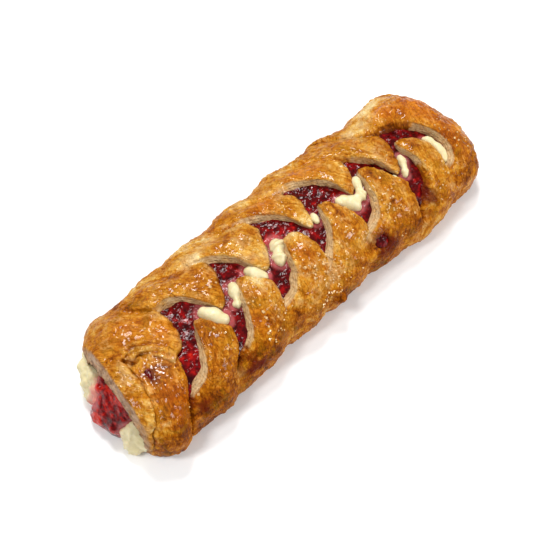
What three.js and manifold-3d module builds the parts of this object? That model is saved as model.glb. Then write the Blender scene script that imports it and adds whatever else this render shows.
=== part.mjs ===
// A braided strawberry and cream cheese strudel: one sheet of laminated dough
// folded round its filling, with the two fringed sides interleaved along the
// top. The dough is open at the -X end, where the filling spills out, and
// folded shut at the +X end. Millimetres, +Z up, +X along the loaf.
import * as THREE from "three";
import { mergeVertices } from "three/addons/utils/BufferGeometryUtils.js";
import Module from "manifold-3d";

// Driving dimensions of the loaf.
const FAR_END = 139; // x of the folded end
const NEAR_HALF = 141; // half length the skin would have towards the open end, uncut
const WIDTH = 87;
const HEIGHT = 36;
const SIDE_HEIGHT = 12; // height of the widest line of the section
const UNDER_DEPTH = 21.6; // half height of the lower half before the flat base cuts it
const SECTION_POWER = 2.5; // squareness of the cross-section
const END_POWER = 11; // squareness of the ends
const OPEN_END = -127; // x of the cut edge of the dough

// Dough and clearances.
const WALL = 5.2; // thickness of the baked dough
const FLOOR = 4; // thickness of the dough under the filling
const PUFF = 2; // how far a strip rises above the loaf's plain skin
const EDGE_DROP = -1; // the same at the strip's edges
const STRIP_DEPTH = 3.5; // how far a strip reaches below it
const CLEARANCE = 0.4; // between dough, jam and cream

// The braid, in arc distance round the section from the ridge, + towards +Y.
const PITCH = 33; // distance between two strips of one side
const WINDOW = { from: -96, to: 114, right: -34, left: 25 };
const STRIP_ROOT = 13; // how far a strip runs on down the side it grows from

// The filling.
const CREAM_LAYER = 9.5; // height of the flat cream layer above the table
const RIDGE = { from: -68, to: 112, y: -3, z: 25.5, radius: 6.8 };
const CREAM_LOBES = [
  { y: 20, halfSpan: 9 },
  { y: -24, halfSpan: 10 },
];
const SPILL = { x: -127.5, reach: 11.5, y: -3, halfSpan: 28, z: 8, halfHeight: 15 };

const halfWidth = WIDTH / 2;
const rise = HEIGHT - SIDE_HEIGHT;

const wasm = await Module();
wasm.setup();

// ---------------------------------------------------------------- helpers

// A closed geometry as a solid that can be joined and cut.
function toSolid(geometry) {
  const bare = geometry.index ? geometry.toNonIndexed() : geometry.clone();
  bare.deleteAttribute("normal");
  bare.deleteAttribute("uv");
  const merged = mergeVertices(bare, 1e-3);
  return new wasm.Manifold(
    new wasm.Mesh({
      numProp: 3,
      vertProperties: merged.attributes.position.array,
      triVerts: new Uint32Array(merged.index.array),
    }),
  );
}

function toGeometry(solid) {
  const mesh = solid.getMesh();
  const geometry = new THREE.BufferGeometry();
  geometry.setAttribute(
    "position",
    new THREE.BufferAttribute(new Float32Array(mesh.vertProperties), 3),
  );
  geometry.setIndex(new THREE.BufferAttribute(new Uint32Array(mesh.triVerts), 1));
  geometry.computeVertexNormals();
  return geometry;
}

// Moves every vertex of a geometry through place(vertex, target).
function reshape(geometry, place) {
  const position = geometry.attributes.position;
  const vertex = new THREE.Vector3();
  const target = new THREE.Vector3();
  for (let i = 0; i < position.count; i += 1) {
    vertex.fromBufferAttribute(position, i);
    place(vertex, target);
    position.setXYZ(i, target.x, target.y, target.z);
  }
  return geometry;
}

// ------------------------------------------------------- the loaf's skin

// Radius of the unit superellipse in the direction (sin angle, cos angle).
function sectionRadius(angle) {
  const across = Math.abs(Math.sin(angle)) ** SECTION_POWER;
  const upwards = Math.abs(Math.cos(angle)) ** SECTION_POWER;
  return (across + upwards) ** (-1 / SECTION_POWER);
}

// A point of the section at an angle from the ridge, for the given half axes.
function sectionPoint(angle, share, halfY, up, down) {
  const radius = share * sectionRadius(angle);
  const cosine = Math.cos(angle);
  return {
    y: halfY * radius * Math.sin(angle),
    z: SIDE_HEIGHT + (cosine > 0 ? up : down) * radius * cosine,
  };
}

// How much of its full section the loaf has at x, for its two half lengths.
function shareAt(x, near, far) {
  const along = Math.min(1, Math.abs(x) / (x < 0 ? near : far));
  return (1 - along ** END_POWER) ** (1 / SECTION_POWER);
}

// A closed loaf, its section inset by `inset` and cut flat at `base`.
function loafGeometry({ inset, near, far, base, around, along }) {
  const sphere = new THREE.SphereGeometry(1, around, along);
  return reshape(sphere, (vertex, target) => {
    const x = vertex.y * (vertex.y < 0 ? near : far);
    const angle = Math.atan2(vertex.z, vertex.x);
    const point = sectionPoint(
      angle,
      shareAt(x, near, far),
      halfWidth - inset,
      rise - inset,
      UNDER_DEPTH - inset,
    );
    target.set(x, point.y, Math.max(base, point.z));
  });
}

// Table of the angle at each arc distance from the ridge, at mid length.
const ARC_STEPS = 720;
const arcTable = [0];
for (let i = 1; i <= ARC_STEPS; i += 1) {
  const before = sectionPoint(((i - 1) / ARC_STEPS) * Math.PI, 1, halfWidth, rise, UNDER_DEPTH);
  const after = sectionPoint((i / ARC_STEPS) * Math.PI, 1, halfWidth, rise, UNDER_DEPTH);
  arcTable.push(arcTable[i - 1] + Math.hypot(after.y - before.y, after.z - before.z));
}

function angleAtArc(arc) {
  const distance = Math.abs(arc);
  const above = Math.max(1, arcTable.findIndex((length) => length >= distance));
  const step = arcTable[above] - arcTable[above - 1];
  const angle = ((above - 1 + (distance - arcTable[above - 1]) / step) / ARC_STEPS) * Math.PI;
  return Math.sign(arc) * angle;
}

// The point `lift` above the skin, at x and an arc distance from the ridge.
function skinPoint(x, arc, lift, target) {
  const angle = angleAtArc(arc);
  const share = shareAt(x, NEAR_HALF, FAR_END);
  const here = sectionPoint(angle, share, halfWidth, rise, UNDER_DEPTH);
  const next = sectionPoint(angle + 0.01, share, halfWidth, rise, UNDER_DEPTH);
  const tangent = new THREE.Vector2(next.y - here.y, next.z - here.z).normalize();
  return target.set(x, here.y - tangent.y * lift, here.z + tangent.x * lift);
}

// ------------------------------------------------------------ the strips

// Edge offsets of a strip, in x, at a distance back from its tip. Strips of
// both sides lean towards +X, so the near edge runs back further. `lean` is
// the slope of the near edge.
const rightStrip = {
  near: (back, lean) => -lean * back - 0.35 * Math.max(0, back - 26),
  far: (back) => 9.5 * (1 - Math.exp(-back / 6)) - 0.012 * Math.max(0, back - 20) ** 2,
};
const leftStrip = {
  near: (back, lean) => -lean * back - 0.01 * back ** 2,
  far: (back) => 11.5 * (1 - Math.exp(-back / 9)) - 0.02 * Math.max(0, back - 28) ** 2,
};

// The first strip of each side and the last one are wider than the rest.
const firstRight = {
  near: (back, lean) => -lean * back,
  far: (back) => 17 * (1 - Math.exp(-back / 7)) - 0.1 * Math.max(0, back - 14),
};
const firstLeft = {
  near: (back, lean) => -16 - lean * back,
  far: (back) => 8 * (1 - Math.exp(-back / 9)),
};
const endStrip = {
  near: (back) => -22 * (back / 40) ** 4,
  far: (back) => 9 + 0.1 * back,
};

// Tip places: x, then arc distance from the ridge, then lean.
const strips = [
  { name: "right_0", side: -1, x: -109, arc: 6, lean: 0.45, edge: firstRight },
  { name: "left_0", side: 1, x: -88, arc: -8, lean: 0.1, edge: firstLeft },
];
const LEFT_TIPS = [
  [-6, 0.62], // from the open end on: arc of the tip, lean
  [-7, 0.36],
  [-3, 0.4],
  [-4, 0.2],
  [-12, 0.24],
];
const RIGHT_TIPS = [
  [-2, 0.66],
  [4, 0.62],
  [4, 0.62],
  [5, 0.7],
  [5, 0.55],
  [4, 0.5],
];
LEFT_TIPS.forEach(([arc, lean], k) => {
  strips.push({ name: `left_${k + 1}`, side: 1, x: -52 + PITCH * k, arc, lean, edge: leftStrip });
});
RIGHT_TIPS.forEach(([arc, lean], k) => {
  strips.push({ name: `right_${k + 1}`, side: -1, x: -69 + PITCH * k, arc, lean, edge: rightStrip });
});
strips.push({ name: "left_6", side: 1, x: 113, arc: -22, lean: 0, edge: endStrip });

const STRIP_STEPS = { along: 9, across: 4 };

// One strip: a crowned slab that lies on the filling from its root to its tip.
function stripGeometry({ side, x, arc, lean, edge }) {
  const root = side > 0 ? WINDOW.left + STRIP_ROOT : WINDOW.right - STRIP_ROOT;
  const length = Math.abs(root - arc);
  const box = new THREE.BoxGeometry(1, 1, 1, STRIP_STEPS.along, STRIP_STEPS.across, 1);
  return reshape(box, (vertex, target) => {
    const back = Math.max(0.001, length * (vertex.x + 0.5) ** 1.25);
    const near = edge.near(back, lean);
    const far = edge.far(back) + 0.6; // blunt tip
    const share = vertex.y + 0.5;
    const crown = 1 - (2 * share - 1) ** 4;
    const fade = Math.min(1, 0.35 + back / 12) * Math.min(1, (1.02 * length - back) / 9);
    const top = EDGE_DROP + (PUFF - EDGE_DROP) * crown * fade;
    const lift = vertex.z > 0 ? top : -STRIP_DEPTH;
    const offset = side > 0 ? far + (near - far) * share : near + (far - near) * share;
    skinPoint(x + offset, arc + side * back, lift, target);
  });
}

// The opening in the skin that the strips bridge. Its ends are slanted.
function windowGeometry() {
  const box = new THREE.BoxGeometry(1, 1, 1, 20, 10, 1);
  return reshape(box, (vertex, target) => {
    const arc = THREE.MathUtils.lerp(WINDOW.right, WINDOW.left, vertex.y + 0.5);
    const from = WINDOW.from + 15 * THREE.MathUtils.smoothstep(arc, -22, 12);
    const to = WINDOW.to - 0.6 * Math.max(0, -arc - 16);
    const x = THREE.MathUtils.lerp(from, to, vertex.x + 0.5);
    skinPoint(x, arc, vertex.z > 0 ? 4 : -WALL - 1.5, target);
  });
}

function pastryGeometry() {
  const outside = toSolid(
    loafGeometry({ inset: 0, near: NEAR_HALF, far: FAR_END, base: 0, around: 32, along: 24 }),
  );
  const cavity = toSolid(
    loafGeometry({
      inset: WALL,
      near: NEAR_HALF - 2,
      far: FAR_END - WALL,
      base: FLOOR,
      around: 28,
      along: 16,
    }),
  );
  const beyond = new THREE.BoxGeometry(40, 2 * WIDTH, 4 * HEIGHT);
  beyond.translate(OPEN_END - 20, 0, 0);
  let dough = outside.subtract(cavity).subtract(toSolid(windowGeometry()));
  for (const strip of strips) dough = dough.add(toSolid(stripGeometry(strip)));
  return toGeometry(dough.subtract(toSolid(beyond)));
}

// ----------------------------------------------------------- the filling

// All of the filling: the cavity less the clearance, and the spill beyond the
// cut edge of the dough.
function fillingSolid() {
  const inside = toSolid(
    loafGeometry({
      inset: WALL + CLEARANCE,
      near: NEAR_HALF - 2 - CLEARANCE,
      far: FAR_END - WALL - CLEARANCE,
      base: FLOOR + CLEARANCE,
      around: 28,
      along: 16,
    }),
  );
  const spill = new THREE.SphereGeometry(1, 18, 12);
  reshape(spill, (vertex, target) => {
    target.set(
      SPILL.x - SPILL.reach * vertex.x,
      SPILL.y - SPILL.halfSpan * vertex.y,
      Math.max(0, SPILL.z + SPILL.halfHeight * vertex.z),
    );
  });
  const ahead = new THREE.BoxGeometry(20, 2 * WIDTH, 4 * HEIGHT);
  ahead.translate(OPEN_END - CLEARANCE - 10, 0, 0);
  return inside.add(toSolid(spill).intersect(toSolid(ahead)));
}

// The piped ridge of cream under the gaps: round on top, and straight down
// into the cream layer.
function creamRidgeGeometry(grow) {
  const bar = new THREE.CylinderGeometry(1, 1, 1, 12, 18);
  return reshape(bar, (vertex, target) => {
    const x = THREE.MathUtils.lerp(RIDGE.from - grow, RIDGE.to + grow, vertex.y + 0.5);
    const middle = RIDGE.y + 2 * Math.sin(x / 8);
    const radius = RIDGE.radius + Math.sin(x / 6 + 2) + grow;
    const below = vertex.z < 0 ? RIDGE.z / radius : 1;
    target.set(x, middle - radius * vertex.x, RIDGE.z + radius * below * vertex.z);
  });
}

// The cream: a flat layer, the ridge and a lobe at each side of the open end.
// `grow` is added all round to cut its bed in the jam. It reaches beyond the
// filling, which trims it.
function creamSolid(grow) {
  const layer = new THREE.BoxGeometry(3 * FAR_END, 2 * WIDTH, 2 * (CREAM_LAYER + grow));
  let cream = toSolid(layer).add(toSolid(creamRidgeGeometry(grow)));
  for (const { y, halfSpan } of CREAM_LOBES) {
    const lobe = new THREE.SphereGeometry(1, 14, 10);
    reshape(lobe, (vertex, target) => {
      target.set(
        OPEN_END + (12 + grow) * vertex.x,
        y + (halfSpan + grow) * vertex.y,
        CREAM_LAYER + (10 + grow) * vertex.z,
      );
    });
    cream = cream.add(toSolid(lobe));
  }
  return cream;
}

// ------------------------------------------------------------ the object

const materials = {
  pastry: new THREE.MeshStandardMaterial({ color: "#c98a3f", roughness: 0.4, metalness: 0 }),
  jam: new THREE.MeshStandardMaterial({ color: "#7d100f", roughness: 0.15, metalness: 0 }),
  cream: new THREE.MeshStandardMaterial({ color: "#f3e3b5", roughness: 0.5, metalness: 0 }),
};

const strudel = new THREE.Group();
function addPiece(name, geometry) {
  const mesh = new THREE.Mesh(geometry, materials[name]);
  mesh.name = name;
  strudel.add(mesh);
}

const filling = fillingSolid();
addPiece("pastry", pastryGeometry());
addPiece("jam", toGeometry(filling.subtract(creamSolid(CLEARANCE))));
addPiece("cream", toGeometry(filling.intersect(creamSolid(0))));

export default strudel;
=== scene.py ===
"""Looks of the strawberry strudel: braided puff pastry, jam, cream cheese and coarse sugar.

The pieces are meshed from distance fields worked out here in millimetres, in the frame of
the CAD model: +X along the loaf to its folded end, +Y across, +Z up.
"""
import math

import bmesh
import bpy
import numpy as np
from mathutils import Matrix, Quaternion, Vector
from mathutils.bvhtree import BVHTree


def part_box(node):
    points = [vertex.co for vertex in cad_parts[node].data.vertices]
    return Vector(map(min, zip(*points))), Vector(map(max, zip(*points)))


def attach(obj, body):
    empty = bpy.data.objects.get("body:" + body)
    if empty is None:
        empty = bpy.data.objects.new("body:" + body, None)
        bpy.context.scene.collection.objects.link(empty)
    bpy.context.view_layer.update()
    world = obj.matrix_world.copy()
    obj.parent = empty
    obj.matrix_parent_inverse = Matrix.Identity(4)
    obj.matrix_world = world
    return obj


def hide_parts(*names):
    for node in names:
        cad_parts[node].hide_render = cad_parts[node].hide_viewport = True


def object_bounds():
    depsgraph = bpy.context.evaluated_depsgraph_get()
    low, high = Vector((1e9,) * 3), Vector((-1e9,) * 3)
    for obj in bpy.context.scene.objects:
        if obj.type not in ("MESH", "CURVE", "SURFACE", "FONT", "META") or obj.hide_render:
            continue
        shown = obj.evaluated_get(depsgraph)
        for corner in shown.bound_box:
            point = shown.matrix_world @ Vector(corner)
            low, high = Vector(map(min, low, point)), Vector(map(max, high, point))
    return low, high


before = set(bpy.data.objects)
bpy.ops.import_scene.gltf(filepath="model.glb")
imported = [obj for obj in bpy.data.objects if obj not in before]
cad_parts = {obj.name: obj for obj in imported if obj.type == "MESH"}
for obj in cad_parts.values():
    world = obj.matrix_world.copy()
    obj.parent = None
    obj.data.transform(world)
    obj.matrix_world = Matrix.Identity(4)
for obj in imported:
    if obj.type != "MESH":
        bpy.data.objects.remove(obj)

cad_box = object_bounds()
MM = 0.001
VOXEL = 0.84

# ---------- sizes

LOW, HIGH = (np.array(corner) / MM for corner in cad_box)
HALF_WIDTH = (HIGH[1] - LOW[1]) / 2 - 1
SIDE_HEIGHT = 12.0  # height of the widest line of the section
RISE = HIGH[2] - 2 - SIDE_HEIGHT
TOP = RISE + SIDE_HEIGHT
UNDER_DEPTH = 21.6  # how far below that line the section would reach without its flat base
SQUARENESS = 2.5  # of the section; 2 would make it an ellipse
ROUNDING = 2 / SQUARENESS  # power of a sine or cosine that draws such a section
OPEN_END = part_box("pastry")[0].x / MM
MOUTH_BACK = 5.6  # how far the cut through the open end lies behind it, high up in the middle
MOUTH_DEPTH, MOUTH_FLOOR = 7, 4  # how far the hollow behind the cut goes in, and its height
WALL = 5.2  # thickness of the dough around that hollow
CORE_DEPTH = 9.0  # how deep under the skin the pastry is solid below the filling
NEAR_HALF = 141.0  # half length the skin would have towards the open end, uncut
FAR_HALF = HIGH[0] - 1.5
NEAR_POWER, FAR_POWER = 12, 10  # how square the loaf's ends are
FAR_SLANT = 0.05  # how much shorter the loaf is on its left at the far end

# ---------- numerical helpers


def cell_corners(cell, f):
    """The corners of each point's cell, and the share each has in the point's value."""
    for corner in range(8):
        step = np.array([corner & 1, corner >> 1 & 1, corner >> 2])
        yield cell + step, np.where(step, f, 1 - f).prod(1)


def cell_hash(c):
    return c[:, 0] * 73856093 ^ c[:, 1] * 19349663 ^ c[:, 2] * 83492791


def noise(p, size, seed):
    """Smooth noise between -1 and 1 at the points p, with cells of `size` mm."""
    table = np.random.default_rng(seed).uniform(-1, 1, 8192).astype(np.float32)
    q = p / size
    cell = np.floor(q).astype(np.int64)
    f = (q - cell).astype(np.float32)
    f = f * f * (3 - 2 * f)
    out = np.zeros(len(p), np.float32)
    for c, w in cell_corners(cell, f):
        out += w * table[cell_hash(c) & 8191]
    return out


def fractal(p, size, seed, octaves=3):
    total = np.zeros(len(p), np.float32)
    for k in range(octaves):
        total += noise(p, size / 2**k, seed + k) * 0.55**k
    return total


def smoothstep(a, b, v):
    t = np.clip((v - a) / (b - a), 0, 1)
    return t * t * (3 - 2 * t)


def smax(a, b, k):
    return np.maximum(a, b) + np.maximum(k - np.abs(a - b), 0) ** 2 / (4 * k)


def smin(a, b, k):
    return -smax(-a, -b, k)


def sample(field, origin, p):
    """Trilinear value of a field at the points p."""
    q = (p - origin) / VOXEL
    top = np.array(field.shape) - 2
    cell = np.clip(np.floor(q).astype(np.int64), 0, top)
    f = q - cell
    out = np.zeros(len(p))
    for c, w in cell_corners(cell, f):
        out += w * field[tuple(c.T)]
    return out


def gradient(field, origin, p):
    h = VOXEL * 0.6
    g = np.empty_like(p)
    for axis in range(3):
        step = np.zeros(3)
        step[axis] = h
        g[:, axis] = (sample(field, origin, p + step) - sample(field, origin, p - step)) / (2 * h)
    return g


def surface_net(field, origin):
    """Vertices and quads of the field's zero surface, one vertex in each cell it crosses."""
    field = field.astype(np.float32)
    inside = field < 0
    n = np.array(field.shape) - 1
    corners = list(np.ndindex(2, 2, 2))
    count = np.zeros(n, np.int8)
    for i, j, k in corners:
        count += inside[i : i + n[0], j : j + n[1], k : k + n[2]]
    active = (count > 0) & (count < 8)
    cells = np.argwhere(active)
    index = np.full(n, -1, np.int64)
    index[active] = np.arange(len(cells))
    value = {c: field[tuple((cells + c).T)] for c in corners}
    total = np.zeros((len(cells), 3))
    hits = np.zeros(len(cells))
    for a in corners:
        for axis in range(3):
            if a[axis]:
                continue
            b = tuple(v + (axis == i) for i, v in enumerate(a))
            crossed = (value[a] < 0) != (value[b] < 0)
            t = value[a] / np.where(crossed, value[a] - value[b], 1)
            point = np.array(a, float) + t[:, None] * np.eye(3)[axis]
            total += np.where(crossed[:, None], point, 0)
            hits += crossed
    vertices = origin + VOXEL * (cells + total / hits[:, None])
    quads = []
    shift = np.eye(3, dtype=int)
    for axis in range(3):
        u, v = (axis + 1) % 3, (axis + 2) % 3
        low = [slice(1, -1)] * 3
        low[axis] = slice(0, -1)
        high = list(low)
        high[axis] = slice(1, None)
        a, b = inside[tuple(low)], inside[tuple(high)]
        start = 1 - shift[axis]
        for wanted, flip in ((a & ~b, False), (~a & b, True)):
            at = np.argwhere(wanted) + start
            ring = [at - shift[u] - shift[v], at - shift[v], at, at - shift[u]]
            ids = [index[tuple(r.T)] for r in ring]
            quads.append(np.stack(ids[::-1] if flip else ids, 1))
    return vertices, np.concatenate(quads)


def grid(low, high):
    """Axis arrays that broadcast to a volume, and its origin."""
    count = [int(math.ceil((b - a) / VOXEL)) + 1 for a, b in zip(low, high)]
    axes = [a + VOXEL * np.arange(c) for a, c in zip(low, count)]
    return *np.ix_(*axes), np.array(low, float)


def mesh_field(field, origin):
    """Vertices, quads and normals of the field's zero surface."""
    vertices, quads = surface_net(field, origin)
    for _ in range(2):
        g = gradient(field, origin, vertices)
        size = np.maximum((g * g).sum(1), 0.05)
        move = -sample(field, origin, vertices)[:, None] * g / size[:, None]
        vertices = vertices + np.clip(move, -VOXEL / 2, VOXEL / 2)
    g = gradient(field, origin, vertices)
    return vertices, quads, g / np.maximum(np.linalg.norm(g, axis=1, keepdims=True), 1e-6)


def push_out(v, normals, by, floor):
    """The vertices moved out by so much, and none of them left under the floor height."""
    v = v + normals * by[:, None]
    v[:, 2] = np.maximum(v[:, 2], floor)
    return v


def distance_from(point, x, y, z):
    return np.sqrt((x - point[0]) ** 2 + (y - point[1]) ** 2 + (z - point[2]) ** 2)


# ---------- the loaf's skin


# Where each side stands out or in, beside its small bulge at every strip: x, half span, change.
LEFT_BULGES = [
    (-97, 7, -2.4), (-46, 9, 1.8), (-11, 9, 3.6), (26, 9, 2.0), (52, 16, 1.2), (85, 11, -4.0),
    (100, 7, -2.0), (126, 14, 5.2),
]
RIGHT_BULGES = [
    (-113, 11, 3.8), (-78, 7, 1.8), (-55, 8, -1.5), (-25, 10, -2.6), (12, 7, -1.8), (68, 9, 5.4),
    (92, 12, 2.6), (126, 14, 4.6),
]


def bulged(width, x, bulges):
    for centre, span, change in bulges:
        width = width + change * np.exp(-(((x - centre) / span) ** 2))
    return width


def half_width(x, y):
    """Half width of the loaf at x, on the side of y."""
    left = HALF_WIDTH - 1.2 + 0.9 * np.cos((x + 36) * 2 * np.pi / 33)
    right = HALF_WIDTH - 1.6 + 0.7 * np.cos((x + 52) * 2 * np.pi / 33)
    left, right = bulged(left, x, LEFT_BULGES), bulged(right, x, RIGHT_BULGES)
    left = left - 9 * np.clip((-102 - x) / 20, 0, 1.2) ** 2
    return np.where(y > 0, left, right)


def end_share(x, y):
    """How far x is towards the loaf's end on its side, as length, share and squareness."""
    along = np.abs(x + FAR_SLANT * y * smoothstep(60, 130, x)) + 1e-3
    half = np.where(x < 0, NEAR_HALF, FAR_HALF)
    return along, along / half, np.where(x < 0, NEAR_POWER, FAR_POWER)


def skin(x, y, z):
    """Distance outside the loaf's plain skin, in mm; good to a few mm deep."""
    across = np.abs(y) + 1e-3
    along, share, power = end_share(x, y)
    up = np.abs(z - SIDE_HEIGHT) + 1e-3
    gx = share**power
    gy = (across / half_width(x, y)) ** SQUARENESS
    gz = (up / np.where(z > SIDE_HEIGHT, RISE, UNDER_DEPTH)) ** SQUARENESS
    g = gx + gy + gz
    slope = (power * gx / along) ** 2
    slope = slope + (SQUARENESS * gy / across) ** 2 + (SQUARENESS * gz / up) ** 2
    return SQUARENESS * (g - g ** (1 - 1 / SQUARENESS)) / np.sqrt(slope)


def section_arcs():
    """Angles about the widest line of the section, and the arc of skin from its top there."""
    angle = np.linspace(0, np.pi - 0.02, 600)
    y = HALF_WIDTH * np.sin(angle) ** ROUNDING
    up = np.abs(np.cos(angle)) ** ROUNDING * np.where(angle < np.pi / 2, RISE, -UNDER_DEPTH)
    return angle, np.r_[0, np.cumsum(np.hypot(np.diff(y), np.diff(up)))]


SECTION_ANGLES, SECTION_ARCS = section_arcs()


def arc_across(x, y, z):
    """Signed arc of skin between the top of the loaf and the points, plus to the left."""
    across = (np.abs(y) / half_width(x, y)) ** (1 / ROUNDING)
    up = np.where(z > SIDE_HEIGHT, (z - SIDE_HEIGHT) / RISE, (SIDE_HEIGHT - z) / UNDER_DEPTH)
    up = np.maximum(up, 0) ** (1 / ROUNDING) * np.sign(z - SIDE_HEIGHT)
    angle = np.arctan2(across, up)
    return np.interp(angle, SECTION_ANGLES, SECTION_ARCS) * np.where(y < 0, -1.0, 1.0)


def on_skin(x, s, depth=0.0):
    """The point on the skin at x and the arc s, moved `depth` mm in."""
    angle = np.interp(abs(s), SECTION_ARCS, SECTION_ANGLES)
    half = float(half_width(x, math.copysign(1.0, s)))
    y = math.copysign(half * math.sin(angle) ** ROUNDING, s)
    up = abs(math.cos(angle)) ** ROUNDING * (RISE if angle < math.pi / 2 else -UNDER_DEPTH)
    _, share, power = end_share(x, y)
    end = max(1 - float(share**power), 0) ** (1 / SQUARENESS)
    point = np.array([x, y * end, SIDE_HEIGHT + up * end])
    steps = 0.5 * np.eye(3)
    normal = np.array([skin(*(point + step)) - skin(*(point - step)) for step in steps])
    normal = normal / np.linalg.norm(normal)
    return point - normal * (depth + float(skin(*point))), normal


# ---------- the braid
#
# The dough is laid out on a chart of the skin: x along the loaf and s, the arc from its top.


def curve(points, steps=6):
    """Points along a smooth curve through the given ones."""
    p = np.array([points[0], *points, points[-1]], float)
    t = (np.arange(steps) / steps)[:, None]
    out = []
    for a, b, c, d in zip(p, p[1:], p[2:], p[3:]):
        bend = 2 * a - 5 * b + 4 * c - d + t * (3 * b - a - 3 * c + d)
        out.append(b + 0.5 * t * (c - a + t * bend))
    return np.concatenate(out + [p[-1:]])


def distance_to(path, x, s):
    best = np.full(x.shape, 1e4)
    for (ax, ay), (bx, by) in zip(path, path[1:]):
        ux, uy = bx - ax, by - ay
        t = np.clip(((x - ax) * ux + (s - ay) * uy) / (ux * ux + uy * uy + 1e-9), 0, 1)
        best = np.minimum(best, (x - ax - t * ux) ** 2 + (s - ay - t * uy) ** 2)
    return np.sqrt(best)


def within(loop, x, s):
    inside = np.zeros(x.shape, bool)
    for (ax, ay), (bx, by) in zip(loop, np.roll(loop, -1, 0)):
        if ay == by:
            continue
        crosses = (s < ay) != (s < by)
        inside ^= crosses & (x < ax + (s - ay) * (bx - ax) / (by - ay))
    return inside


CHART_STEP, CHART_MARGIN = 0.6, 14
CHART_S = np.arange(-68, 68, CHART_STEP)
# Arcs between which the top turns into the side wall, and the crown, near rim and far fall there.
LEFT_WALL, LEFT_WALL_RISE = (20, 36), (0.5, 0.1, -0.9)
RIGHT_WALL, RIGHT_WALL_RISE = (28, 42), (1.2, -1.6, -1.8)
NEAR_RIM, FAR_ROLL = 4.5, 7.5  # how far in from its edges a strip keeps its rim and its fall


class Strip:
    """One strip of dough: the crust between its near edge, cut and raised, and its far edge,
    which rolls down onto the next gap."""

    def __init__(
        self, name, near, far, rise, slope, tone, pale=0.0, bare=(-36, 24, 1), closing=()
    ):
        """Edges are given as x and s in turn; rise is how far the crown, the near rim and the far
        fall stand out; bare is the lowest and highest arc where the near edge shows its cut
        layers, and how much."""
        self.name, self.slope, self.tone, self.pale, self.bare = name, slope, tone, pale, bare
        near, far, closing = (np.reshape(p, (-1, 2)) for p in (near, far or (), closing))
        near, far = curve(near), curve(far) if len(far) else None
        loop = np.concatenate([near, closing] + ([] if far is None else [far]))
        self.low = max(loop[:, 0].min() - CHART_MARGIN, -NEAR_HALF)
        self.high = min(loop[:, 0].max() + CHART_MARGIN, FAR_HALF + 6)
        self.xs = np.arange(self.low, self.high + CHART_STEP, CHART_STEP)
        x, s = np.meshgrid(self.xs, CHART_S, indexing="ij")
        to_near = distance_to(near, x, s)
        to_far = distance_to(far, x, s) if far is not None else np.full(x.shape, 60.0)
        inside = within(loop, x, s)
        self.edge = np.minimum(to_near, to_far) * np.where(inside, -1, 1)
        self.nearness = smoothstep(1.2, -1.2, to_near - to_far)
        self.to_far, self.to_near = to_far, to_near
        side = s > 0
        wall = np.where(side, smoothstep(*LEFT_WALL, s), smoothstep(*RIGHT_WALL, -s))
        ends = zip(rise, LEFT_WALL_RISE, RIGHT_WALL_RISE)
        crown, rim, fall = (a + (np.where(side, b, c) - a) * wall for a, b, c in ends)
        n = np.where(inside | (to_far < to_near), to_near, 0)
        f = np.where(inside | (to_near < to_far), to_far, 0)
        top = crown + (rim - crown) * np.exp(-((n / NEAR_RIM) ** 1.5))
        top = top + (fall - crown) * np.exp(-((f / FAR_ROLL) ** 1.4))
        flat = np.stack([x.ravel(), s.ravel(), np.zeros(x.size)], 1)
        seed = 300 + sum(map(ord, name))
        self.top = top + 0.55 * fractal(flat, 16, seed, 2).reshape(x.shape)

    def reach(self, x):
        """The rows of a volume that the strip reaches."""
        rows = np.nonzero((x[:, 0, 0] > self.low + 1) & (x[:, 0, 0] < self.high - 1))[0]
        return slice(rows[0], rows[-1] + 1)

    def look(self, chart, x, s):
        """Value of one of the strip's charts at x and s, between its points."""
        u = np.clip((x - self.low) / CHART_STEP, 0, len(self.xs) - 1.001)
        v = np.clip((s - CHART_S[0]) / CHART_STEP, 0, len(CHART_S) - 1.001)
        i, j = u.astype(np.int64), v.astype(np.int64)
        u, v = u - i, v - j
        a = chart[i, j] * (1 - v) + chart[i, j + 1] * v
        b = chart[i + 1, j] * (1 - v) + chart[i + 1, j + 1] * v
        return a * (1 - u) + b * u

    def field(self, d, x, s):
        """Distance outside the strip, depth under its top, distance outside its edge, and how
        much that edge is the near one."""
        edge, nearness = self.look(self.edge, x, s), self.look(self.nearness, x, s)
        depth = self.look(self.top, x, s) - d
        slope = self.slope * nearness
        edge = (edge - slope * np.clip(depth, 0, 6)) / np.sqrt(1 + slope * slope)
        return smax(-depth, edge, 0.9 + 2.4 * (1 - nearness)), depth, edge, nearness


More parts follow.
